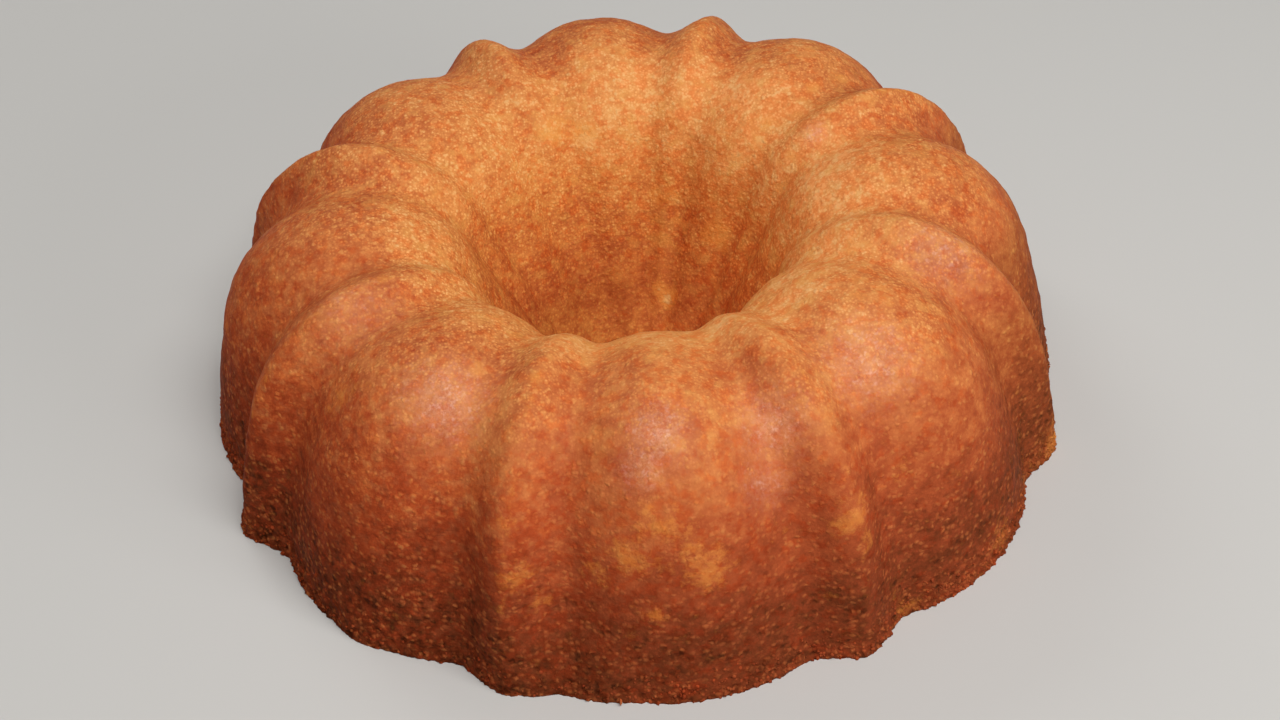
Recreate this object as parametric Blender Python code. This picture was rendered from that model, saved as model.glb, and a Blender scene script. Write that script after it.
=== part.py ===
"""Buttermilk pound cake, baked in a fluted ring mould and turned out whole.

One solid piece of cake: eight wide round lobes with a narrow sharp ridge between
each two of them, which run up the outer wall, over the crown and down into the
tapered centre hole. The cake rests on its flat cut of crumb, and it stands a
little higher on one side, as the batter rose unevenly.

Frame: +Z up, origin on the base plane at the centre of the ring. The middles of
four of the lobes lie on the X and Y axes, so the ridges stand at 22.5 degrees and
every 45 degrees on from there. All sizes are in metres.
"""

import math

import bmesh
import bpy
from mathutils import Vector

# Plan of the base
LOBE_COUNT = 8
LOBE_BASE_RADIUS = 0.1250
RIDGE_BASE_RADIUS = 0.1256
GROOVE_BASE_RADIUS = 0.1195
HOLE_BASE_RADIUS = 0.0195

# Cross-section of a lobe over the crown: distances from the core line of the ring,
# at equal steps of angle round it from the outer wall to the throat of the hole
CORE_RADIUS = 0.068
CORE_HEIGHT = 0.036
THROAT_ANGLE = 150
LOBE_REACH = (0.0494, 0.0460, 0.0423, 0.0382, 0.0345, 0.0322, 0.0296)

# Flutes at the same steps: how deep the grooves lie, how far the ridges stand proud
# of the lobes, and the turn in degrees from a ridge's crest to the grooves beside it
GROOVE_DEPTH = (0.0095, 0.0092, 0.0078, 0.0065, 0.0050, 0.0038, 0.0038)
RIDGE_RISE = (0.0020, 0.0010, 0.0012, 0.0019, 0.0017, 0.0004, -0.0010)
RIDGE_HALF_ANGLE = (6.9, 7.3, 7.7, 8.3, 8.2, 7.7, 7.5)
HOLE_GROOVE_DEPTH = 0.0025
CREST_ROUNDNESS = 0.02

# Walls below the level of the core
OUTER_WALL_BULGE = 0.0009
HOLE_TAPER_AT_BASE = 17

# Uneven rise of the batter: the height gained at the rim, along X and Y
RIM_GAIN = Vector((0.0035, 0.0007))
RISE_HEIGHT = 0.085

# Mesh steps
OUTER_WALL_STEPS = 4
CROWN_STEPS = 14
HOLE_WALL_STEPS = 5
RIDGE_FLANK_STEPS = 4
HALF_LOBE_STEPS = 8

CRUST_COLOUR = (0.52, 0.20, 0.055, 1.0)
CRUST_ROUGHNESS = 0.55


def clear_scene():
    for obj in list(bpy.data.objects):
        bpy.data.objects.remove(obj, do_unlink=True)


def hermite(start, leave, end, arrive, t):
    """A cubic from start to end with the given slopes at its two ends."""
    square = t * t
    cube = square * t
    return (
        start * (2 * cube - 3 * square + 1)
        + leave * (cube - 2 * square + t)
        + end * (3 * square - 2 * cube)
        + arrive * (cube - square)
    )


def over_crown(values, share):
    """The value at a share of the way over the crown, on a smooth curve through the listed ones."""
    last = len(values) - 1
    index = min(int(share * last), last - 1)
    before = values[max(index - 1, 0)]
    start = values[index]
    end = values[index + 1]
    after = values[min(index + 2, last)]
    return hermite(start, (end - before) / 2, end, (after - start) / 2, share * last - index)


def flute(across, depth, rise):
    """How far the surface lies inside the lobe's line.

    across is 0 on a ridge's crest, 1 in the groove beside it and 2 in the middle of the lobe.
    """
    if across > 1:
        return depth * (2 - across) ** 2
    blunt = math.sqrt(CREST_ROUNDNESS)
    flank = math.sqrt(across**2 + CREST_ROUNDNESS) - blunt
    whole_flank = math.sqrt(1 + CREST_ROUNDNESS) - blunt
    return (depth + rise) * flank / whole_flank - rise


def turn_from_crest(across, half_angle):
    """The turn in degrees from the crest, for the same measure across the flute."""
    if across > 1:
        return half_angle + (across - 1) * (180 / LOBE_COUNT - half_angle)
    return half_angle * across


def section(across):
    """The points of one section, each with its turn from the crest.

    They run from the outer edge of the base, over the crown, to the lower edge of the hole.
    """
    base_depth = LOBE_BASE_RADIUS - GROOVE_BASE_RADIUS
    base_rise = RIDGE_BASE_RADIUS - LOBE_BASE_RADIUS
    edge = Vector((LOBE_BASE_RADIUS - flute(across, base_depth, base_rise), 0))
    crown = []
    for step in range(CROWN_STEPS + 1):
        share = step / CROWN_STEPS
        inset = flute(across, over_crown(GROOVE_DEPTH, share), over_crown(RIDGE_RISE, share))
        reach = over_crown(LOBE_REACH, share) - inset
        angle = math.radians(THROAT_ANGLE * share)
        point = Vector((CORE_RADIUS + reach * math.cos(angle), CORE_HEIGHT + reach * math.sin(angle)))
        crown.append((point, turn_from_crest(across, over_crown(RIDGE_HALF_ANGLE, share))))
    wall = []
    for step in range(OUTER_WALL_STEPS):
        share = step / OUTER_WALL_STEPS
        point = edge.lerp(crown[0][0], share)
        point.x += OUTER_WALL_BULGE * 4 * share * (1 - share)
        wall.append((point, crown[0][1]))
    throat, throat_turn = crown[-1]
    foot = Vector((HOLE_BASE_RADIUS + flute(across, HOLE_GROOVE_DEPTH, 0), 0))
    length = (foot - throat).length
    leave = (throat - crown[-2][0]).normalized() * length
    taper = math.radians(HOLE_TAPER_AT_BASE)
    arrive = Vector((-math.sin(taper), -math.cos(taper))) * length
    hole = []
    for step in range(1, HOLE_WALL_STEPS + 1):
        hole.append((hermite(throat, leave, foot, arrive, step / HOLE_WALL_STEPS), throat_turn))
    return wall + crown + hole


def risen(point):
    """Leans the body over its level base, away from the side on which the batter rose more."""
    gain = RIM_GAIN / LOBE_BASE_RADIUS
    lean = gain * point.z
    lift = gain.dot(point.xy) * min(point.z / RISE_HEIGHT, 1)
    return point + Vector((-lean.x, -lean.y, lift))


def build_cake():
    body = bmesh.new()
    pitch = 360 / LOBE_COUNT
    reach = RIDGE_FLANK_STEPS + HALF_LOBE_STEPS
    columns = []
    for ridge in range(LOBE_COUNT):
        for step in range(-reach, reach):
            across = min(abs(step) / RIDGE_FLANK_STEPS, 1)
            across += max(abs(step) - RIDGE_FLANK_STEPS, 0) / HALF_LOBE_STEPS
            column = []
            for point, turn in section(across):
                heading = math.radians(pitch * (ridge + 0.5) + math.copysign(turn, step))
                place = Vector((point.x * math.cos(heading), point.x * math.sin(heading), point.y))
                column.append(body.verts.new(risen(place)))
            columns.append(column)
    for index, column in enumerate(columns):
        neighbour = columns[(index + 1) % len(columns)]
        for row in range(len(column)):
            above = (row + 1) % len(column)
            body.faces.new((column[row], neighbour[row], neighbour[above], column[above]))
    bmesh.ops.recalc_face_normals(body, faces=body.faces)
    mesh = bpy.data.meshes.new("pound_cake")
    body.to_mesh(mesh)
    body.free()
    mesh.shade_smooth()
    mesh.set_sharp_from_angle(angle=math.radians(50))
    cake = bpy.data.objects.new("pound_cake", mesh)
    bpy.context.scene.collection.objects.link(cake)
    return cake


def add_crust_material(cake):
    crust = bpy.data.materials.new("baked_crust")
    crust.use_nodes = True
    surface = crust.node_tree.nodes["Principled BSDF"]
    surface.inputs["Base Color"].default_value = CRUST_COLOUR
    surface.inputs["Roughness"].default_value = CRUST_ROUGHNESS
    surface.inputs["Metallic"].default_value = 0.0
    cake.data.materials.append(crust)


clear_scene()
add_crust_material(build_cake())
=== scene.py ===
"""Buttermilk pound cake: a fluted ring cake, turned out of its mould and left whole.

The cake itself comes first, then the crumbs along its foot, then the floor, the
lights and the camera. All sizes are in metres, except in the tables of where the crust
is browned and spotted, which are in millimetres.
"""

import math

import bpy
import numpy as np
from mathutils import Euler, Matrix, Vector


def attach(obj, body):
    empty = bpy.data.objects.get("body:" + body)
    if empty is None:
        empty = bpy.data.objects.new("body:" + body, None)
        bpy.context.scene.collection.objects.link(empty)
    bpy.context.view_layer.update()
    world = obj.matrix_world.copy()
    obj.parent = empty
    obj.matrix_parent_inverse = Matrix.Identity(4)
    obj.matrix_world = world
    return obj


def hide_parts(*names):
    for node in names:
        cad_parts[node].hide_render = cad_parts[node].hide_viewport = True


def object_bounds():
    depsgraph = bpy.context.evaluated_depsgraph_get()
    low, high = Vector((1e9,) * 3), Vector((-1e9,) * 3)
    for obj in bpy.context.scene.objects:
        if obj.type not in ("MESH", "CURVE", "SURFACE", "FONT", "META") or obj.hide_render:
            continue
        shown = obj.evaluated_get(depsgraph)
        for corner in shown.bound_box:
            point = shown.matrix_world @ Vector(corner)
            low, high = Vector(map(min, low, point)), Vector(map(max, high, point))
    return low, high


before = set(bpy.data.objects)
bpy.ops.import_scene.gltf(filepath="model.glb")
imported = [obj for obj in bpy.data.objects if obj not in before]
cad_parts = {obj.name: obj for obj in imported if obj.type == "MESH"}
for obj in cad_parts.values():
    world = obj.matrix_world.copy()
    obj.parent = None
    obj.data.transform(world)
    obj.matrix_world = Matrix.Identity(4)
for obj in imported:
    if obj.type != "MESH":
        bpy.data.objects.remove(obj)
cad_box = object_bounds()


# The cake
# One batch of buttermilk batter, baked in a greased fluted ring mould and turned out
# in one piece. Its skin is the crust that browned against the mould: tight and
# golden on the crown, darker down the wall, and open crumb close to the foot.

# What still counts as on the base, as the same point, and as level.
FLAT = 0.0001
SAME_POINT = 0.00001
NEARLY_LEVEL = 0.9
# Distances from the axis that tell the foot of the hole, the top of the crown and the
# outer wall apart, and the width over which outside and inside blend on the crown.
HOLE_FOOT_REACH = 0.030
CROWN_LINE_REACH = 0.074
CROWN_BLEND = 0.012
OUTER_WALL_REACH = 0.090
# The eight ridges: how far apart they stand, where the first is, and how sharp they are.
RIDGE_PITCH = math.radians(45)
FIRST_CREST = math.radians(22.5)
CREST_HALF_TURN = math.radians(0.3)
CREST_SHARPNESS = 0.5

bpy.ops.object.select_all(action="DESELECT")
cake = bpy.data.objects.new("cake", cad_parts["pound_cake"].data.copy())
bpy.context.scene.collection.objects.link(cake)
cake.select_set(True)
bpy.context.view_layer.objects.active = cake
bpy.ops.object.mode_set(mode="EDIT")
bpy.ops.mesh.select_mode(type="FACE")
bpy.ops.mesh.select_all(action="SELECT")
bpy.ops.mesh.remove_doubles(threshold=SAME_POINT)
bpy.ops.mesh.tris_convert_to_quads(face_threshold=math.pi, shape_threshold=math.pi)
bpy.ops.object.mode_set(mode="OBJECT")


def select_faces(obj, wanted):
    """Selects just those faces of an object for which wanted(face) is true, and opens it for editing."""
    bpy.ops.object.mode_set(mode="EDIT")
    bpy.ops.mesh.select_mode(type="FACE")
    bpy.ops.mesh.select_all(action="DESELECT")
    bpy.ops.object.mode_set(mode="OBJECT")
    for face in obj.data.polygons:
        face.select = wanted(face)
    bpy.ops.object.mode_set(mode="EDIT")


def points_of(obj):
    """The places of a mesh's points, as rows of x, y and z."""
    flat = np.empty(len(obj.data.vertices) * 3)
    obj.data.vertices.foreach_get("co", flat)
    return flat.reshape(-1, 3)


def turn_from_crest(points):
    """The signed turn in radians of each point from the crest of the ridge nearest to it."""
    heading = np.arctan2(points[:, 1], points[:, 0]) - FIRST_CREST
    return heading - RIDGE_PITCH * np.round(heading / RIDGE_PITCH)


def add_modifier(obj, kind, **settings):
    """Puts a modifier on an object and applies it."""
    modifier = obj.modifiers.new(kind.lower(), kind)
    for name, value in settings.items():
        setattr(modifier, name, value)
    bpy.ops.object.modifier_apply(modifier=modifier.name)


WEIGHT_STEPS = 20


def name_group(obj, name, weights):
    """Gives an object a vertex group with one weight for each of its points, in even steps."""
    group = obj.vertex_groups.new(name=name)
    for step in range(1, WEIGHT_STEPS + 1):
        chosen = np.flatnonzero(np.round(weights * WEIGHT_STEPS) == step)
        group.add(chosen.tolist(), step / WEIGHT_STEPS, "REPLACE")


def inner_share(reach):
    """How far a distance from the axis lies on the hole's side of the crown, from 0 to 1."""
    return np.clip((CROWN_LINE_REACH - reach) / CROWN_BLEND, 0, 1)


def round_section(points, outside, inside):
    """Values that depend on the place round the ring's section, blended over the crown.

    Each list has pairs of a height in millimetres and the value there.
    """
    height = points[:, 2] * 1000
    reach = np.hypot(points[:, 0], points[:, 1])
    outer = np.interp(height, *zip(*outside))
    inner = np.interp(height, *zip(*inside))
    return outer + (inner - outer) * inner_share(reach)


# The hole is a little tighter at its foot than the mould's tube, and the whole foot is
# drawn down below the base for now, so that it can be cut off flat when the skin is fine.
HOLE_FOOT_TIGHTENING = 0.85
SKIRT = 0.006
bpy.ops.object.mode_set(mode="EDIT")
bpy.ops.mesh.select_mode(type="VERT")
bpy.ops.mesh.select_all(action="DESELECT")
bpy.ops.object.mode_set(mode="OBJECT")
for point in cake.data.vertices:
    point.select = point.co.z < FLAT and point.co.xy.length < HOLE_FOOT_REACH
bpy.ops.object.mode_set(mode="EDIT")
bpy.ops.transform.resize(value=(HOLE_FOOT_TIGHTENING, HOLE_FOOT_TIGHTENING, 1), center_override=(0, 0, 0))
bpy.ops.object.mode_set(mode="OBJECT")
select_faces(cake, lambda face: face.normal.z < -NEARLY_LEVEL and face.center.z < FLAT)
bpy.ops.mesh.extrude_region_move(TRANSFORM_OT_translate={"value": (0, 0, -SKIRT)})
bpy.ops.object.mode_set(mode="OBJECT")
on_crest = np.abs(turn_from_crest(points_of(cake))) < CREST_HALF_TURN
crease = cake.data.attributes.new("crease_edge", "FLOAT", "EDGE")
for edge in cake.data.edges:
    start, end = edge.vertices
    if on_crest[start] and on_crest[end]:
        crease.data[edge.index].value = CREST_SHARPNESS
add_modifier(cake, "SUBSURF", levels=2, render_levels=2)

# The foot isn't as even as the mould: batter that ran out fills the groove by one of
# the front ridges, and two corners of the foot stand out a little. Each has its heading
# in degrees, its distance from the axis, how far it stands out, and how wide it is.
FOOT_NUDGES = (
    (255.5, 0.1200, 0.0026, 0.018),
    (227.1, 0.1250, 0.0012, 0.009),
    (202.5, 0.1256, 0.0010, 0.006),
)
NUDGED_POINTS = 0.002
for heading, reach, outward, spread in FOOT_NUDGES:
    aim = Vector((math.cos(math.radians(heading)), math.sin(math.radians(heading)), 0))
    foot_place = aim * reach
    bpy.ops.object.mode_set(mode="EDIT")
    bpy.ops.mesh.select_mode(type="VERT")
    bpy.ops.mesh.select_all(action="DESELECT")
    bpy.ops.object.mode_set(mode="OBJECT")
    for point in cake.data.vertices:
        point.select = abs(point.co.z) < SKIRT and (point.co.xy - foot_place.xy).length < NUDGED_POINTS
    bpy.ops.object.mode_set(mode="EDIT")
    bpy.ops.transform.translate(
        value=aim * outward, use_proportional_edit=True, proportional_edit_falloff="SMOOTH",
        proportional_size=spread,
    )
    bpy.ops.object.mode_set(mode="OBJECT")

# From here on the mesh is even and fine enough for the smallest lumps of the skin.
MESH_GRAIN = 0.00145
add_modifier(cake, "REMESH", mode="VOXEL", voxel_size=MESH_GRAIN, use_smooth_shade=True)

# Batter fills a mould's grooves softly, most of all over the crown, where the cake
# sank a little as it cooled: there the flutes are rounded off, and low on the wall
# they keep their edges.
SOFTENED_OUTSIDE = ((4, 0), (12, 0.4), (24, 0.85), (60, 0.85), (70, 0.95), (74, 1.0))
SOFTENED_INSIDE = ((0, 0.05), (30, 0.15), (55, 0.3), (66, 0.9), (74, 1.0))
SOFTENING_STEPS = 80
# Some crests keep more of their edge: low on the wall, and all the way up at the back.
# Each has where that fades out or over how far, how wide it is and how much is kept.
LOW_CREST_TOP = 0.060
LOW_CREST_FADE = 0.02
LOW_CREST_WIDTH = 0.0025
LOW_CREST_KEPT = 0.5
BACK_CREST_FADE = 0.02
BACK_CREST_WIDTH = 0.005
BACK_CREST_KEPT = 0.95
places = points_of(cake)
reach = np.hypot(places[:, 0], places[:, 1])
softened = round_section(places, SOFTENED_OUTSIDE, SOFTENED_INSIDE)
from_crest = turn_from_crest(places) * reach
below_shoulder = np.clip((LOW_CREST_TOP - places[:, 2]) / LOW_CREST_FADE, 0, 1)
low_crest_kept = LOW_CREST_KEPT * np.exp(-((from_crest / LOW_CREST_WIDTH) ** 2)) * below_shoulder
at_back = np.clip(places[:, 1] / BACK_CREST_FADE, 0, 1) * (reach > CROWN_LINE_REACH)
back_crest_kept = BACK_CREST_KEPT * np.exp(-((from_crest / BACK_CREST_WIDTH) ** 2)) * at_back
softened *= 1 - np.maximum(low_crest_kept, back_crest_kept)
name_group(cake, "softened", softened)
add_modifier(cake, "SMOOTH", factor=0.5, iterations=SOFTENING_STEPS, vertex_group="softened")

# The flat cut of the underside: the mesh is cut at the base, and closed by rings drawn
# inwards from the foot, the first as wide as the crust is thick, by one such ring round
# the hole, and by a bridge between them.
FOOT_RINGS = (0.987, 0.80, 0.75, 0.70, 0.65)
HOLE_RINGS = (1.09,)
CUT_EDGE_MERGE = 3 * FLAT


def select_open_edges(obj, wanted):
    """Selects just those open edges for which wanted(distance from the axis) is true, for editing."""
    bpy.ops.object.mode_set(mode="EDIT")
    bpy.ops.mesh.select_mode(type="EDGE")
    bpy.ops.mesh.select_all(action="DESELECT")
    bpy.ops.mesh.select_non_manifold(extend=False)
    bpy.ops.object.mode_set(mode="OBJECT")
    for edge in obj.data.edges:
        if not wanted(obj.data.vertices[edge.vertices[0]].co.xy.length):
            edge.select = False
    bpy.ops.object.mode_set(mode="EDIT")


bpy.ops.object.mode_set(mode="EDIT")
bpy.ops.mesh.select_all(action="SELECT")
bpy.ops.mesh.bisect(plane_co=(0, 0, 0), plane_no=(0, 0, 1), use_fill=False, clear_inner=True)
bpy.ops.mesh.select_all(action="SELECT")
bpy.ops.mesh.delete_loose()
select_open_edges(cake, lambda reach: True)
bpy.ops.mesh.remove_doubles(threshold=CUT_EDGE_MERGE)
select_open_edges(cake, lambda reach: reach > HOLE_FOOT_REACH)
for share in FOOT_RINGS:
    bpy.ops.mesh.extrude_edges_move()
    bpy.ops.transform.resize(value=(share, share, 1), center_override=(0, 0, 0))
select_open_edges(cake, lambda reach: reach < HOLE_FOOT_REACH)
for share in HOLE_RINGS:
    bpy.ops.mesh.extrude_edges_move()
    bpy.ops.transform.resize(value=(share, share, 1), center_override=(0, 0, 0))
select_open_edges(cake, lambda reach: True)
bpy.ops.mesh.bridge_edge_loops()
bpy.ops.object.mode_set(mode="OBJECT")
select_faces(cake, lambda face: abs(face.normal.z) > NEARLY_LEVEL and face.center.z < FLAT)
bpy.ops.mesh.normals_make_consistent(inside=False)
bpy.ops.object.mode_set(mode="OBJECT")

# Close to the foot the crumb is open and its holes are small, so the mesh is finer there.
LOW_BAND_FOOT = 3 * FLAT
LOW_BAND_TOP = 0.014


def in_low_band(face):
    """Whether a face lies low on the outer wall, above the flat cut."""
    return LOW_BAND_FOOT < face.center.z < LOW_BAND_TOP and face.center.xy.length > OUTER_WALL_REACH


select_faces(cake, in_low_band)
bpy.ops.mesh.subdivide(number_cuts=1, smoothness=0)
bpy.ops.object.mode_set(mode="OBJECT")

# What makes the skin uneven, each with the size of its lumps or holes and how far they go
# in or out, in metres, the level that stays in place, the points that it moves, how many
# finer layers it has, and its contrast. The very foot stays on the base.
UNEVENNESS = (
    ("uneven_rise", 0.030, 0.0016, 0.6, "off_foot", 2, 1.0),
    ("lumps", 0.010, 0.0007, 0.6, "off_foot", 2, 1.0),
    ("pimples", 0.0035, 0.0004, 0.6, "off_foot", 1, 1.0),
    ("crumb_holes", 0.0016, 0.0010, 0.8, "holes_wanted", 1, 1.6),
)
ON_BASE = 1.5 * FLAT
FOOT_FADE = 0.002
CRUMB_HOLES_FADE = 0.010
places = points_of(cake)
height = places[:, 2]
reach = np.hypot(places[:, 0], places[:, 1])
foot_points = np.flatnonzero(height < ON_BASE)
name_group(cake, "off_foot", np.clip(height / FOOT_FADE, 0, 1))
holes_wanted = np.clip((LOW_BAND_TOP - height) / CRUMB_HOLES_FADE, 0, 1) * (reach > OUTER_WALL_REACH)
name_group(cake, "holes_wanted", holes_wanted)
for name, size, depth, middle, group, layers, contrast in UNEVENNESS:
    clouds = bpy.data.textures.new(name, "CLOUDS")
    clouds.noise_scale = size
    clouds.noise_depth = layers
    clouds.contrast = contrast
    add_modifier(
        cake, "DISPLACE", texture=clouds, texture_coords="LOCAL", strength=depth, mid_level=middle,
        vertex_group=group,
    )
for index in foot_points:
    cake.data.vertices[index].co.z = 0
cake.data.shade_smooth()
select_faces(cake, lambda face: face.center.z == 0)
bpy.ops.mesh.faces_shade_flat()
bpy.ops.object.mode_set(mode="OBJECT")


def paint(obj, name, values):
    """Keeps one number for each of a mesh's points, for a material to read."""
    layer = obj.data.attributes.new(name, "FLOAT", "POINT")
    layer.data.foreach_set("value", values.astype(np.float32))


# How far each part of the crust is browned, from 0, pale, to 1, almost burnt, how open
# its crumb is, and how golden it is: by its height in millimetres on the outside, up
# over the wall to the crown, and on the inside, from the bottom of the hole up.
# The browning by height also holds painted shade, darker down the walls to the foot.
BROWNED_AND_SHADED_OUTSIDE = (
    (0, 0.86), (8, 0.835), (16, 0.83), (26, 0.745), (38, 0.64), (50, 0.555), (62, 0.475), (72, 0.36),
    (78, 0.26),
)
BROWNED_AND_SHADED_INSIDE = ((0, 0.44), (22, 0.42), (40, 0.345), (55, 0.19), (68, 0.205), (78, 0.26))
OPEN_OUTSIDE = ((0, 1.0), (10, 0.8), (24, 0.3), (42, 0.0))
OPEN_INSIDE = ((0, 0.3), (20, 0.0))
GOLDEN_OUTSIDE = ((0, 0.0), (60, 0.0), (78, 0.2))
GOLDEN_INSIDE = ((0, 1.0), (45, 1.0), (72, 0.2))
# Round the cake, by the turn in degrees from the front, positive to the right, the
# crust carries painted light and shade on the wall, the crown and in the throat; parts
# of the foot are paler crumb, the left side is ruddier and rougher, and the front is the
# smoothest.
SIDE_LIGHT_AND_SHADE_ROUND = (
    (-180, 0), (-135, 0), (-105, -0.06), (-75, -0.005), (-45, -0.015), (-22, 0.01), (-12, 0), (20, 0.01),
    (50, 0.022), (80, -0.015), (120, -0.02), (180, 0),
)
CROWN_LIGHT_AND_SHADE_ROUND = (
    (-180, -0.02), (-165, -0.04), (-135, -0.155), (-105, -0.06), (-75, 0.055), (-45, 0), (-15, -0.02),
    (15, -0.035), (45, -0.045), (75, -0.05), (105, -0.045), (135, -0.06), (165, -0.06), (180, -0.02),
)
THROAT_LIGHT_AND_SHADE_ROUND = (
    (-180, -0.06), (-135, 0.02), (-105, 0.04), (-75, 0.06), (-45, -0.055), (-15, -0.075), (15, -0.09),
    (45, -0.075), (75, -0.10), (105, -0.07), (135, -0.08), (165, -0.08), (180, -0.06),
)
PALE_FOOT_ROUND = (
    (-180, 0.02), (-75, 0.075), (-45, -0.025), (-20, -0.025), (5, 0.04), (30, 0.075), (55, 0.09), (70, 0.06),
    (80, 0.03), (105, 0.04), (140, 0.02), (180, 0.02),
)
RUDDY_THROAT_ROUND = ((-180, 0), (-100, -0.2), (-60, 0), (0, 0), (60, 0.5), (120, 0.6), (165, 0.2), (180, 0))
RUDDY_ROUND = (
    (-180, 0.2), (-100, 0.6), (-50, 0.8), (-15, 0.3), (15, -0.2), (45, -0.55), (75, -1.2), (110, -1.1),
    (180, 0.2),
)
ROUGH_ROUND = (
    (-180, 1.15), (-110, 1.25), (-60, 1.4), (-40, 1.35), (-15, 0.85), (8, 0.75), (25, 0.9), (50, 1.0),
    (80, 1.15), (180, 1.15),
)
# Single spots, each with its place and radius in millimetres and its strength: pale
# yellow ones, where flour or fat kept the crust from browning, and glossy ones, where
# it lay greased and tight against the mould; these also carry a painted highlight, a
# pinkish painted sheen with painted glints.
PALE_SPOTS = (
    # On the wall of the front lobe and on the ridges to its left and right
    (-6, -110.5, 52, 9, 0.6), (-8, -109.5, 55, 4, 0.8), (-14, -112, 43, 6, 0.75), (1, -114, 46, 5, 0.6),
    (5, -116, 40, 6, 0.85), (-22, -111, 37, 5, 0.6), (-8.6, -119, 28.6, 3.5, 0.8),
    (-44.5, -105, 50, 5, 0.6), (-41, -109, 37, 5, 0.6), (-36, -109.5, 28, 4, 0.5),
    (44.3, -107.6, 44.8, 6, 0.9), (47, -108.5, 36, 5, 0.5), (56, -92.6, 44, 4.5, 0.5),
    # On the left shoulder
    (-60, -78, 56.6, 5, 0.6), (-83, -60, 58, 6, 0.6), (-72, -66, 62, 5, 0.5),
    # On the crown
    (20.5, 52.4, 69.8, 3, 0.7), (59.6, 41.8, 70.9, 3, 0.7), (70, 47.1, 68.8, 3, 0.7),
    (51.8, -23.2, 70.8, 3, 0.8), (60, -59.1, 73.1, 3, 0.8), (-46.2, -65.1, 67.9, 3, 0.8),
    (-31.6, -74.2, 73, 3, 0.8),
    # In the hole, from its mouth down
    (43.6, 33, 66.6, 3, 0.8), (40.6, 28.7, 62.1, 3, 0.9), (30.7, 35.8, 61.8, 3, 0.8),
    (-18.6, 46, 61, 5, 1.05), (-9, 46.5, 57.5, 5, 0.95), (34, 28.2, 56.6, 3.5, 1.0),
    (16, 35.3, 39.9, 3, 1.0), (11.4, 37.5, 39.6, 3, 1.0), (26.7, 21.4, 34.8, 5, 0.95),
    (12.5, 30.5, 28, 4.5, 0.5), (11.8, 27, 21.5, 4, 0.5), (9.8, 23.4, 14.2, 2.8, 1.0),
    (14.6, 20.8, 13.2, 2.2, 0.8), (12.4, 22.0, 11.4, 3.4, 1.3),
    # Along the foot on the right
    (114, -48, 5, 8, 0.7), (117, -47, 10, 5, 0.6), (104, -66, 4, 7, 0.5), (88, -84, 4, 8, 0.5),
    (60, -106, 4, 7, 0.4),
)
GLOSS_AND_HIGHLIGHT_SPOTS = (
    (-77, -37.5, 68.5, 10, 0.3), (-55, -72.5, 66.5, 9, 1.0), (-4, -94, 68.4, 7, 0.8),
    (-3.6, -95.1, 67.5, 4, 1.25), (-9, -101, 63, 5, 0.7), (24.4, -90, 62.6, 8, 0.7),
    (21.5, -100.7, 53.4, 6, 0.5), (52, -74.6, 67.8, 10, 0.85), (79.5, -38.8, 71, 10, 0.6),
    (55.6, 19.9, 70, 3, 0.9),
)
# A broken paler line is painted along the crests of the ridges as a painted highlight,
# and the grooves beside them are painted a little paler than the lobes as painted light.
CREST_HIGHLIGHT_STRENGTH = 0.36
CREST_LINE_WIDTH = 0.0014
GROOVE_PAINTED_LIGHT = 0.03
GROOVE_TURN = math.radians(8.0)
GROOVE_SPREAD = math.radians(3.5)
# The parts of the cake, each by the height in millimetres at which it begins and the one
# from which it counts in full, and the distance from the axis that parts out from in.
ON_WALL = (66, 50)
ON_FOOT = (22, 8)
ON_CROWN = (58, 66)
ABOVE_FOOT = (14, 24)
IN_THROAT = (20, 40)
DEEP_IN_THROAT = (28, 16)
DEEP_THROAT_TAN = 0.75
OUTSIDE_REACH = 0.070


def spotted(places, spots):
    """How strongly each point lies in one of the spots."""
    share = np.zeros(len(places))
    for x, y, z, radius, strength in spots:
        apart = np.linalg.norm(places * 1000 - (x, y, z), axis=1)
        share = np.maximum(share, strength * np.exp(-(apart / radius) ** 2))
    return share


def setting_in(height, begin, full):
    """How far something has set in at each height: 0 where it begins, and 1 where it is full."""
    return np.clip((height - begin) / (full - begin), 0, 1)


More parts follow.
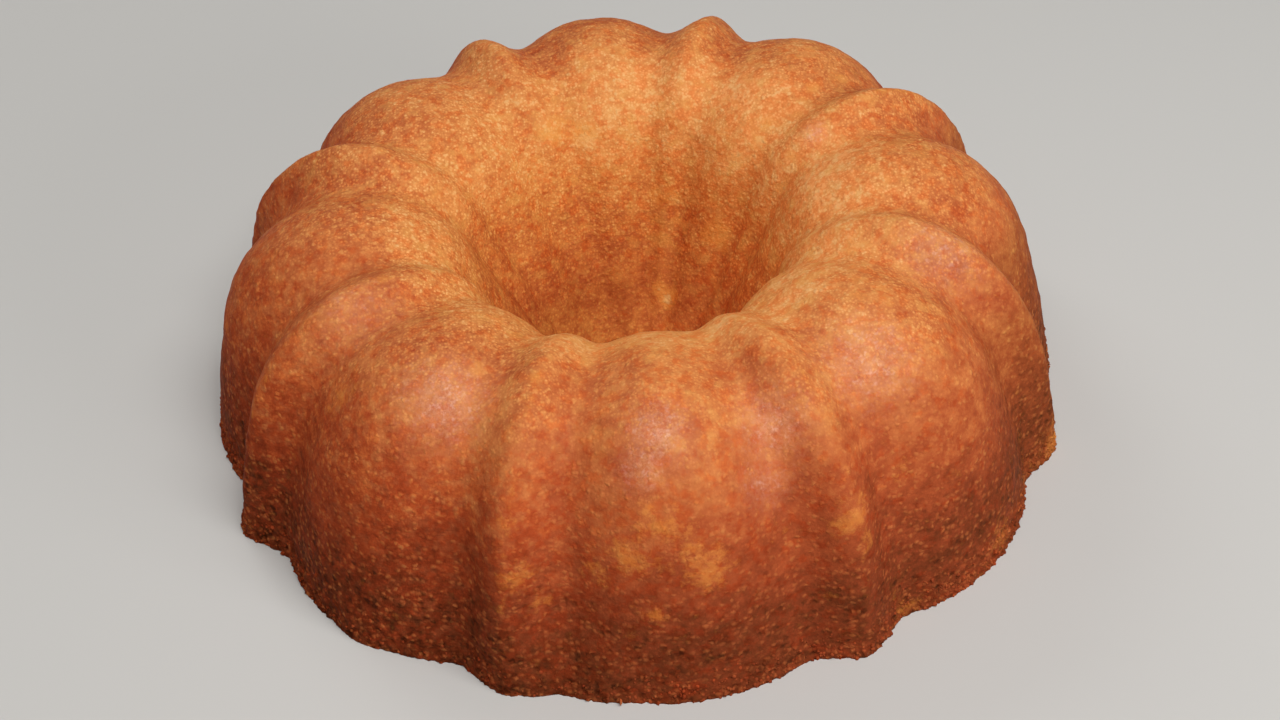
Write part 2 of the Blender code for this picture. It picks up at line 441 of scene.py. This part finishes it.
def paint_crust(obj, shift):
    """Paints an object with what the crust's material reads, the browning changed by a shift."""
    places = points_of(obj)
    reach = np.hypot(places[:, 0], places[:, 1])
    height = places[:, 2] * 1000
    turn = turn_from_crest(places)
    from_front = np.degrees(np.arctan2(places[:, 0], -places[:, 1]))
    inner = inner_share(reach)
    outside = reach > OUTSIDE_REACH
    on_wall = setting_in(height, *ON_WALL) * outside
    above_foot = setting_in(height, *ABOVE_FOOT)
    in_groove = np.exp(-(((np.abs(turn) - GROOVE_TURN) / GROOVE_SPREAD) ** 2))
    # Browning by height, which also holds painted shade: darker down the walls to the foot.
    browning_and_painted_shading = round_section(places, BROWNED_AND_SHADED_OUTSIDE, BROWNED_AND_SHADED_INSIDE) + shift
    # Painted light and shade by the side of the cake, on the wall, the crown and in the throat.
    browning_and_painted_shading += np.interp(from_front, *zip(*SIDE_LIGHT_AND_SHADE_ROUND)) * on_wall
    browning_and_painted_shading += np.interp(from_front, *zip(*CROWN_LIGHT_AND_SHADE_ROUND)) * setting_in(height, *ON_CROWN) * (1 - inner)
    browning_and_painted_shading += np.interp(from_front, *zip(*THROAT_LIGHT_AND_SHADE_ROUND)) * setting_in(height, *IN_THROAT) * inner
    browning_and_painted_shading -= np.interp(from_front, *zip(*PALE_FOOT_ROUND)) * setting_in(height, *ON_FOOT) * outside
    # Painted light: the grooves a little paler.
    browning_and_painted_shading -= GROOVE_PAINTED_LIGHT * in_groove * above_foot * on_wall
    ruddiness = np.interp(from_front, *zip(*RUDDY_ROUND)) * on_wall
    ruddiness += np.interp(from_front, *zip(*RUDDY_THROAT_ROUND)) * inner
    ruddiness -= DEEP_THROAT_TAN * setting_in(height, *DEEP_IN_THROAT) * inner
    # Painted highlight: a broken pale line along the crests.
    painted_crest_highlight = CREST_HIGHLIGHT_STRENGTH * np.exp(-(turn * reach / CREST_LINE_WIDTH) ** 2) * above_foot * outside
    paint(obj, "browning_and_painted_shading", browning_and_painted_shading)
    paint(obj, "open_crumb", round_section(places, OPEN_OUTSIDE, OPEN_INSIDE))
    paint(obj, "golden", round_section(places, GOLDEN_OUTSIDE, GOLDEN_INSIDE))
    paint(obj, "ruddiness", ruddiness)
    paint(obj, "roughness_round", np.interp(from_front, *zip(*ROUGH_ROUND)))
    paint(obj, "pale_spots_and_crest_highlight", np.maximum(spotted(places, PALE_SPOTS), painted_crest_highlight))
    paint(obj, "gloss_and_painted_highlight", spotted(places, GLOSS_AND_HIGHLIGHT_SPOTS))


paint_crust(cake, 0)
# Crumb is bared on the flat underside, up to the first ring in from each edge.
bared = np.zeros(len(cake.data.vertices))
for bares in (True, False):
    for face in cake.data.polygons:
        if (face.center.z == 0) == bares:
            bared[list(face.vertices)] = bares
paint(cake, "bared_crumb", bared)

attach(cake, "root")
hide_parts("pound_cake")


def srgb(code):
    """A colour written as six hexadecimal digits, in linear light."""
    channels = [int(code[i:i + 2], 16) / 255 for i in (0, 2, 4)]
    linear = [c / 12.92 if c <= 0.04045 else ((c + 0.055) / 1.055) ** 2.4 for c in channels]
    return (*linear, 1.0)


# Cake crust, browned against a greased mould: a thin tight skin over fine crumb, with
# pale flecks where sugar and fat lay against the metal, and a soft buttery sheen. Its
# shades run from unbrowned to almost burnt, each with the browning that it stands for.
CRUST_SHADES = (
    (0.00, "F6B879"), (0.15, "EB9F5D"), (0.30, "DC884B"), (0.45, "C76E3D"),
    (0.60, "AD512D"), (0.75, "8D3F23"), (0.88, "72351C"), (1.00, "512715"),
)
crust = bpy.data.materials.new("browned_cake_crust")
crust.use_nodes = True
tree = crust.node_tree
surface = tree.nodes["Principled BSDF"]


def add_node(kind, inputs, **settings):
    """Adds a node with its settings, and with values or links for its inputs.

    A node given for an input stands for its first output.
    """
    made = tree.nodes.new("ShaderNode" + kind)
    for name, value in settings.items():
        setattr(made, name, value)
    for socket, value in inputs.items():
        if isinstance(value, bpy.types.Node):
            value = value.outputs[0]
        if isinstance(value, bpy.types.NodeSocket):
            tree.links.new(value, made.inputs[socket])
        else:
            made.inputs[socket].default_value = value
    return made


browning_and_shading = add_node("Attribute", {}, attribute_name="browning_and_painted_shading").outputs["Fac"]
opened = add_node("Attribute", {}, attribute_name="open_crumb").outputs["Fac"]
golden = add_node("Attribute", {}, attribute_name="golden").outputs["Fac"]
ruddiness = add_node("Attribute", {}, attribute_name="ruddiness").outputs["Fac"]
roughness_round = add_node("Attribute", {}, attribute_name="roughness_round").outputs["Fac"]
pale_spots_and_crest_highlight = add_node("Attribute", {}, attribute_name="pale_spots_and_crest_highlight").outputs["Fac"]
gloss_and_painted_highlight = add_node("Attribute", {}, attribute_name="gloss_and_painted_highlight").outputs["Fac"]
bared_crumb = add_node("Attribute", {}, attribute_name="bared_crumb").outputs["Fac"]

# Most patterns are a little flatter than they are wide, and flecks and pits have wavy
# edges, bent by a ripple of about their own size.
FLATTENED = (1, 1, 1.2)
RIPPLE_SIZE = 0.0016
RIPPLE_REACH = (0.0016, 0.0016, 0.0010)
spot = add_node("TexCoord", {}).outputs["Object"]
flat_spot = add_node("Mapping", {"Vector": spot, "Scale": FLATTENED})
ripple = add_node("TexNoise", {"Vector": spot, "Scale": 1 / RIPPLE_SIZE, "Detail": 1.0, "Roughness": 0.5})
bent_spot = add_node(
    "VectorMath", {0: ripple.outputs["Color"], 1: RIPPLE_REACH, 2: flat_spot}, operation="MULTIPLY_ADD"
)

# Clouds, centred on 0: the size of each in metres, where it is read, how many finer
# layers it has and how strong those are, and a shift that sets it apart from the others.
CLOUDS = {
    "patches": (0.022, spot, 1.0, 0.5, 1.0),
    "blotches": (0.006, flat_spot, 2.0, 0.6, 2.0),
    "mottle": (0.0020, flat_spot, 4.0, 0.80, 3.0),
    "streaks": (0.0038, flat_spot, 2.0, 0.6, 5.0),
    "ruddy": (0.0032, flat_spot, 2.0, 0.6, 6.0),
    "butter": (0.0045, spot, 1.0, 0.5, 7.0),
    "shine": (0.0014, spot, 2.0, 0.6, 9.0),
    "pores": (0.0017, bent_spot, 2.0, 0.7, 11.0),
}
cloud = {}
for name, (size, place, layers, layer_strength, shift) in CLOUDS.items():
    billow = add_node(
        "TexNoise",
        {"Vector": place, "Scale": 1 / size, "Detail": layers, "Roughness": layer_strength, "W": shift},
        noise_dimensions="4D",
    )
    cloud[name] = add_node("Math", {0: billow, 1: 0.5}, operation="SUBTRACT")
mottle = cloud["mottle"]
blotches = cloud["blotches"]

# Dots, 1 in their middles and 0 between them, each with a tone of its own: granules of
# the skin, pale flecks and pits, by how far apart they lie in metres.
DOTS = {"granules": (0.0008, spot), "flecks": (0.0015, bent_spot), "pits": (0.0021, bent_spot)}
DOT_MIDDLE = 0.05
DOT_EDGE = 0.75
dots = {}
tones = {}
for name, (spacing, place) in DOTS.items():
    cells = add_node("TexVoronoi", {"Vector": place, "Scale": 1 / spacing, "Randomness": 1.0})
    tones[name] = add_node("SeparateColor", {"Color": cells.outputs["Color"]})
    dots[name] = add_node(
        "MapRange",
        {"Value": cells, "From Min": DOT_MIDDLE, "From Max": DOT_EDGE, "To Min": 1.0, "To Max": 0.0},
        interpolation_type="SMOOTHSTEP",
    )

# The clouds break up what a spot or a ruddy side does: what each mixture starts from, and
# what is added to it, each with its weight.
MIXTURES = {
    "paleness": (pale_spots_and_crest_highlight, (blotches, 1.6), (mottle, 1.7)),
    "spot_middle": (pale_spots_and_crest_highlight, (mottle, 1.5)),
    "ruddiness": (cloud["ruddy"], (ruddiness, 0.13)),
}
mixture = {}
for name, (sum_so_far, *parts) in MIXTURES.items():
    for part, weight in parts:
        sum_so_far = add_node("Math", {0: part, 1: weight, 2: sum_so_far}, operation="MULTIPLY_ADD")
    mixture[name] = sum_so_far

# How strongly each effect on the crust shows: what it goes by, the two values of that
# between which it sets in or fades, and its strength at the first and at the second.
STRENGTHS = {
    "clear_flecks": (tones["flecks"], 0.45, 0.95, 0.0, 1.0),
    "clear_pits": (tones["pits"], 0.55, 0.90, 0.0, 1.0),
    "open_pits": (opened, -0.35, 0.7, 0.0, 1.0),
    "uneven_crown": (browning_and_shading, 0.36, 0.47, 1.0, 0.6),
    "uneven_foot": (browning_and_shading, 0.62, 0.80, 0.0, 0.25),
    "streaks": (browning_and_shading, 0.42, 0.60, 0.0, 0.34),
    "granules": (browning_and_shading, 0.28, 0.60, -0.27, -0.11),
    "broad": (browning_and_shading, 0.45, 0.80, 1.0, 0.55),
    "pale_patch": (mixture["paleness"], 0.24, 0.90, 0.0, 1.0),
    "spot_middle": (mixture["spot_middle"], 0.9, 1.3, 0.0, 0.6),
    "ruddy": (mixture["ruddiness"], -0.05, 0.13, 0.0, 1.0),
    "tan": (ruddiness, -0.4, -1.2, 0.0, 1.0),
    "butter_dabs": (cloud["butter"], 0.02, 0.20, 0.0, 1.0),
    "butter": (browning_and_shading, 0.30, 0.62, 0.30, 0.0),
    "fleck_tint": (browning_and_shading, 0.50, 0.76, 0.05, 0.44),
    "between_flecks": (dots["flecks"], 0.35, 0.85, 1.0, 0.3),
    "highlight_net_mottle": (mottle, -0.10, 0.10, 0.0, 0.36),
    "painted_glints": (cloud["shine"], 0.0, 0.28, 0.0, 0.50),
    "sheen": (browning_and_shading, 0.35, 0.62, 0.10, 0.01),
    "crumb_mottle": (mottle, 0.0, 0.2, 0.0, 0.6),
    "crumb_blotches": (blotches, -0.05, 0.15, 0.0, 1.0),
    "crumb_pores": (cloud["pores"], 0.08, 0.20, 0.0, 0.55),
}
strength = {}
for name, (guide, first, second, at_first, at_second) in STRENGTHS.items():
    strength[name] = add_node(
        "MapRange",
        {"Value": guide, "From Min": first, "From Max": second, "To Min": at_first, "To Max": at_second},
        interpolation_type="SMOOTHSTEP",
    )
pale_patch = strength["pale_patch"]

# The skin is most ragged on the crown, at the foot and on the rough sides of the cake.
raggedness = add_node("Math", {0: strength["uneven_crown"], 1: strength["uneven_foot"]}, operation="ADD")
raggedness = add_node("Math", {0: raggedness, 1: roughness_round}, operation="MULTIPLY")
flecks = add_node("Math", {0: dots["flecks"], 1: strength["clear_flecks"]}, operation="MULTIPLY")
granules = add_node("Math", {0: dots["granules"], 1: tones["granules"], 2: -0.25}, operation="MULTIPLY_ADD")
pits = add_node("Math", {0: dots["pits"], 1: strength["clear_pits"]}, operation="MULTIPLY")
pits = add_node("Math", {0: pits, 1: strength["open_pits"]}, operation="MULTIPLY")
pits = add_node("Math", {0: pits, 1: roughness_round}, operation="MULTIPLY")
streaks = add_node("Math", {0: flecks, 1: -0.10, 2: cloud["streaks"]}, operation="MULTIPLY_ADD")
streaks = add_node("Math", {0: streaks, 1: strength["streaks"]}, operation="MULTIPLY")
streaks = add_node("Math", {0: streaks, 1: roughness_round}, operation="MULTIPLY")
fine = add_node("Math", {0: granules, 1: strength["granules"]}, operation="MULTIPLY")
for effect, weight in ((mottle, 0.55), (flecks, -0.21)):
    fine = add_node("Math", {0: effect, 1: weight, 2: fine}, operation="MULTIPLY_ADD")
fine = add_node("Math", {0: fine, 1: raggedness}, operation="MULTIPLY")
broad = 0.0
for effect, weight in ((cloud["patches"], 0.32), (blotches, 0.48)):
    broad = add_node("Math", {0: effect, 1: weight, 2: broad}, operation="MULTIPLY_ADD")
broad = add_node("Math", {0: broad, 1: strength["broad"]}, operation="MULTIPLY")

# How dark each bit of the crust is, by how far it is browned, with the painted light and
# shade that the browning carries, and all that makes it uneven.
shade = browning_and_shading
for effect, weight in ((broad, 1.0), (fine, 1.0), (streaks, 1.0), (pits, 0.13), (pale_patch, -0.17)):
    shade = add_node("Math", {0: effect, 1: weight, 2: shade}, operation="MULTIPLY_ADD")
ramp = add_node("ValToRGB", {"Fac": shade})
ramp.color_ramp.elements[0].position = CRUST_SHADES[0][0]
ramp.color_ramp.elements[0].color = srgb(CRUST_SHADES[0][1])
ramp.color_ramp.elements[1].position = CRUST_SHADES[-1][0]
ramp.color_ramp.elements[1].color = srgb(CRUST_SHADES[-1][1])
for position, code in CRUST_SHADES[1:-1]:
    ramp.color_ramp.elements.new(position).color = srgb(code)

# The tints on top of that: ruddier and more tan sides, dabs of butter, the golden throat,
# pale flecks, pale spots with yellow middles, and on the glossy spots a painted highlight:
# a pinkish painted sheen, with painted glints between flecks.
butter = add_node("Math", {0: strength["butter_dabs"], 1: strength["butter"]}, operation="MULTIPLY")
fleck_tint = add_node("Math", {0: flecks, 1: strength["fleck_tint"]}, operation="MULTIPLY")
fleck_tint = add_node("Math", {0: fleck_tint, 1: roughness_round}, operation="MULTIPLY")
pale_tint = add_node("Math", {0: pale_patch, 1: 0.30}, operation="MULTIPLY")
# Painted highlight on the glossy spots: a pinkish sheen, a net between flecks, and glints.
painted_sheen_tint = add_node("Math", {0: gloss_and_painted_highlight, 1: 0.13}, operation="MULTIPLY")
painted_highlight_net = add_node(
    "Math", {0: strength["between_flecks"], 1: strength["highlight_net_mottle"]}, operation="MULTIPLY"
)
painted_highlight_net = add_node("Math", {0: painted_highlight_net, 1: gloss_and_painted_highlight}, operation="MULTIPLY")
painted_glints = add_node("Math", {0: strength["painted_glints"], 1: gloss_and_painted_highlight}, operation="MULTIPLY")
CRUST_TINTS = (
    ("FFE4D6", strength["ruddy"], "MULTIPLY"),
    ("EFFFF2", strength["tan"], "MULTIPLY"),
    ("E9A95C", butter, "MIX"),
    ("FFFFE6", golden, "MULTIPLY"),
    ("AE6E3C", fleck_tint, "MIX"),
    ("EA9A40", pale_tint, "MIX"),
    ("E9C680", strength["spot_middle"], "MIX"),
    ("F0AC90", painted_sheen_tint, "MIX"),
    ("FBB98F", painted_highlight_net, "MIX"),
    ("FFD4C2", painted_glints, "MIX"),
)
colour = ramp.outputs["Color"]
for tint, share, blend in CRUST_TINTS:
    layer = add_node("Mix", {0: share, 6: colour, 7: srgb(tint)}, data_type="RGBA", blend_type=blend)
    colour = layer.outputs[2]

# On the flat underside the crumb is bared: pale yellow, uneven, with small pores.
CRUMB_COLOUR = "E2B877"
pale_crumbs = add_node("Math", {0: flecks, 1: 0.5}, operation="MULTIPLY")
CRUMB_TINTS = (
    ("C98F4C", strength["crumb_mottle"]),
    ("D8A764", strength["crumb_blotches"]),
    ("F0D49A", pale_crumbs),
    ("A87038", strength["crumb_pores"]),
)
crumb = srgb(CRUMB_COLOUR)
for tint, share in CRUMB_TINTS:
    layer = add_node("Mix", {0: share, 6: crumb, 7: srgb(tint)}, data_type="RGBA", blend_type="MIX")
    crumb = layer.outputs[2]
layer = add_node("Mix", {0: bared_crumb, 6: colour, 7: crumb}, data_type="RGBA", blend_type="MIX")
tree.links.new(layer.outputs[2], surface.inputs["Base Color"])

# Crust is nearly matt under a thin coat of fat, most of which lies on the pale crown and
# in the glossy spots. Its fine relief is half a millimetre high.
RELIEF_HEIGHT = 0.0005
surface.inputs["Roughness"].default_value = 0.55
surface.inputs["Specular IOR Level"].default_value = 0.01
surface.inputs["Coat Roughness"].default_value = 0.3
sheen = add_node("Math", {0: gloss_and_painted_highlight, 1: 0.05, 2: strength["sheen"]}, operation="MULTIPLY_ADD")
tree.links.new(sheen.outputs[0], surface.inputs["Coat Weight"])
relief = add_node("Math", {0: mottle, 1: raggedness}, operation="MULTIPLY")
for effect, weight in ((granules, 0.12), (flecks, 0.35), (pits, -0.8)):
    relief = add_node("Math", {0: effect, 1: weight, 2: relief}, operation="MULTIPLY_ADD")
bumps = add_node("Bump", {"Height": relief, "Strength": 1.0, "Distance": RELIEF_HEIGHT})
tree.links.new(bumps.outputs["Normal"], surface.inputs["Normal"])
tree.links.new(bumps.outputs["Normal"], surface.inputs["Coat Normal"])
cake.data.materials.clear()
cake.data.materials.append(crust)


# The crumbs on the foot
# Small grains of cake that tore loose as the cake was turned out, and that still cling
# to the lowest part of its wall. One thin shred hangs from the foot at the front.
CRUMB_SHAPES = 6
CRUMB_RAGGEDNESS = 0.22
CRUMB_COUNT = 2600
CRUMB_SIZE = (0.0006, 0.0015)
CRUMB_SINK = 0.1
CRUMB_BROWNING = (-0.18, 0.0)
CRUMBS_TOP = 0.012
CRUMBS_THIN_OUT = 1.5
CRUMBS_EVERYWHERE = 0.4
CRUMBS_ON_PALE_FOOT = 6
FACING_DOWN = -0.5
SHRED_SIZE = (0.0008, 0.0009, 0.0034)
SHRED_PLACE = (-0.0185, -0.1229, 0.0016)
SHRED_BROWNING = -0.45
BOX_CLEARANCE = 0.0001
draw = np.random.default_rng(21)
shapes = []
for index in range(CRUMB_SHAPES):
    bpy.ops.mesh.primitive_ico_sphere_add(subdivisions=1, radius=0.5)
    shape = bpy.context.object
    bpy.ops.object.mode_set(mode="EDIT")
    bpy.ops.transform.vertex_random(offset=CRUMB_RAGGEDNESS, seed=index)
    bpy.ops.object.mode_set(mode="OBJECT")
    shapes.append((points_of(shape), [tuple(face.vertices) for face in shape.data.polygons]))
    bpy.data.objects.remove(shape)
count = len(cake.data.polygons)
centres = np.empty(count * 3)
normals = np.empty(count * 3)
areas = np.empty(count)
cake.data.polygons.foreach_get("center", centres)
cake.data.polygons.foreach_get("normal", normals)
cake.data.polygons.foreach_get("area", areas)
centres = centres.reshape(-1, 3)
normals = normals.reshape(-1, 3)
# Most crumbs hang low and where the foot is palest, and none under the cake.
low = np.clip(1 - centres[:, 2] / CRUMBS_TOP, 0, 1) ** CRUMBS_THIN_OUT
on_wall = (np.hypot(centres[:, 0], centres[:, 1]) > OUTER_WALL_REACH) & (normals[:, 2] > FACING_DOWN)
from_front = np.degrees(np.arctan2(centres[:, 0], -centres[:, 1]))
on_pale_foot = CRUMBS_ON_PALE_FOOT * np.interp(from_front, *zip(*PALE_FOOT_ROUND))
wanted = areas * low * on_wall * (CRUMBS_EVERYWHERE + on_pale_foot)
chosen = draw.choice(count, CRUMB_COUNT, p=wanted / wanted.sum())
corners = []
sides = []
browning = []
for index in range(CRUMB_COUNT + 1):
    points, faces = shapes[index % CRUMB_SHAPES]
    turn = Euler(draw.uniform(0, math.tau, 3).tolist()).to_matrix()
    size = CRUMB_SIZE[0] + (CRUMB_SIZE[1] - CRUMB_SIZE[0]) * draw.random() ** 2
    if index < CRUMB_COUNT:
        face = chosen[index]
        grain = (points * size) @ np.array(turn) + centres[face] - normals[face] * size * CRUMB_SINK
    else:
        grain = points * SHRED_SIZE + SHRED_PLACE
    grain[:, 2] = np.maximum(grain[:, 2], 0)
    if np.abs(grain[:, :2]).max() > cad_box[1][0] - BOX_CLEARANCE:
        continue
    sides.extend(tuple(len(corners) + corner for corner in side) for side in faces)
    corners.extend(grain.tolist())
    crumb_browning = draw.uniform(*CRUMB_BROWNING)
    browning.extend([crumb_browning if index < CRUMB_COUNT else SHRED_BROWNING] * len(grain))
crumb_mesh = bpy.data.meshes.new("foot_crumbs")
crumb_mesh.from_pydata(corners, [], sides)
crumbs = bpy.data.objects.new("foot_crumbs", crumb_mesh)
bpy.context.scene.collection.objects.link(crumbs)
crumb_mesh.shade_smooth()
paint_crust(crumbs, np.array(browning))
crumb_mesh.materials.append(crust)
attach(crumbs, "root")


# The floor
# A wide sheet of pale matt board under the cake, with no shine.
FLOOR_SIZE = 16
bpy.ops.mesh.primitive_plane_add(size=FLOOR_SIZE, location=(0, 0, 0))
floor = bpy.context.object
floor.name = "floor"
pale = bpy.data.materials.new("pale_matt_board")
pale.use_nodes = True
pale.node_tree.nodes["Principled BSDF"].inputs["Base Color"].default_value = srgb("CDCBC7")
pale.node_tree.nodes["Principled BSDF"].inputs["Roughness"].default_value = 0.8
floor.data.materials.append(pale)

# The lights
# Soft panels: two high in front and to the right, one low on the right, and a weaker
# one behind on the left, in a pale room.
AIM = Vector((0, 0, 0.04))
PANEL_SIZE = 0.7
PANEL_DISTANCE = 1.5
ROOM_BRIGHTNESS = 0.16


def add_panel(name, azimuth, elevation, power):
    """A square light panel that faces the cake, by its direction in degrees and its power in watts."""
    light = bpy.data.lights.new(name, "AREA")
    light.shape = "SQUARE"
    light.size = PANEL_SIZE
    light.energy = power
    panel = bpy.data.objects.new(name, light)
    bpy.context.scene.collection.objects.link(panel)
    round_from_front = math.radians(azimuth)
    up = math.radians(elevation)
    level = math.cos(up)
    away = Vector((math.sin(round_from_front) * level, -math.cos(round_from_front) * level, math.sin(up)))
    panel.location = AIM + away * PANEL_DISTANCE
    panel.rotation_euler = away.to_track_quat("Z", "Y").to_euler()


add_panel("front_panel", 0, 62, 9.1)
add_panel("right_panel", 45, 62, 8.6)
add_panel("low_right_panel", 45, 15, 6.0)
add_panel("back_left_panel", 210, 38, 4.1)
world = bpy.data.worlds.new("pale_room")
world.use_nodes = True
world.node_tree.nodes["Background"].inputs["Color"].default_value = srgb("E6E4E0")
world.node_tree.nodes["Background"].inputs["Strength"].default_value = ROOM_BRIGHTNESS
bpy.context.scene.world = world
bpy.context.scene.view_settings.view_transform = "Standard"

# The camera
# It looks down on the cake from the front, at the angle of the photograph, which was
# worked out from the feet of the ridges, the outline and the lip of the hole.
CAMERA_PLACE = (-0.03975, -0.44355, 0.40262)
CAMERA_TURN = (48.3773, 1.6039, -6.6628)
CAMERA_LENS = 56.07
SENSOR_WIDTH = 36
camera = bpy.data.objects.new("camera", bpy.data.cameras.new("camera"))
bpy.context.scene.collection.objects.link(camera)
camera.location = CAMERA_PLACE
camera.rotation_euler = [math.radians(turn) for turn in CAMERA_TURN]
camera.data.lens = CAMERA_LENS
camera.data.sensor_width = SENSOR_WIDTH
bpy.context.scene.camera = camera
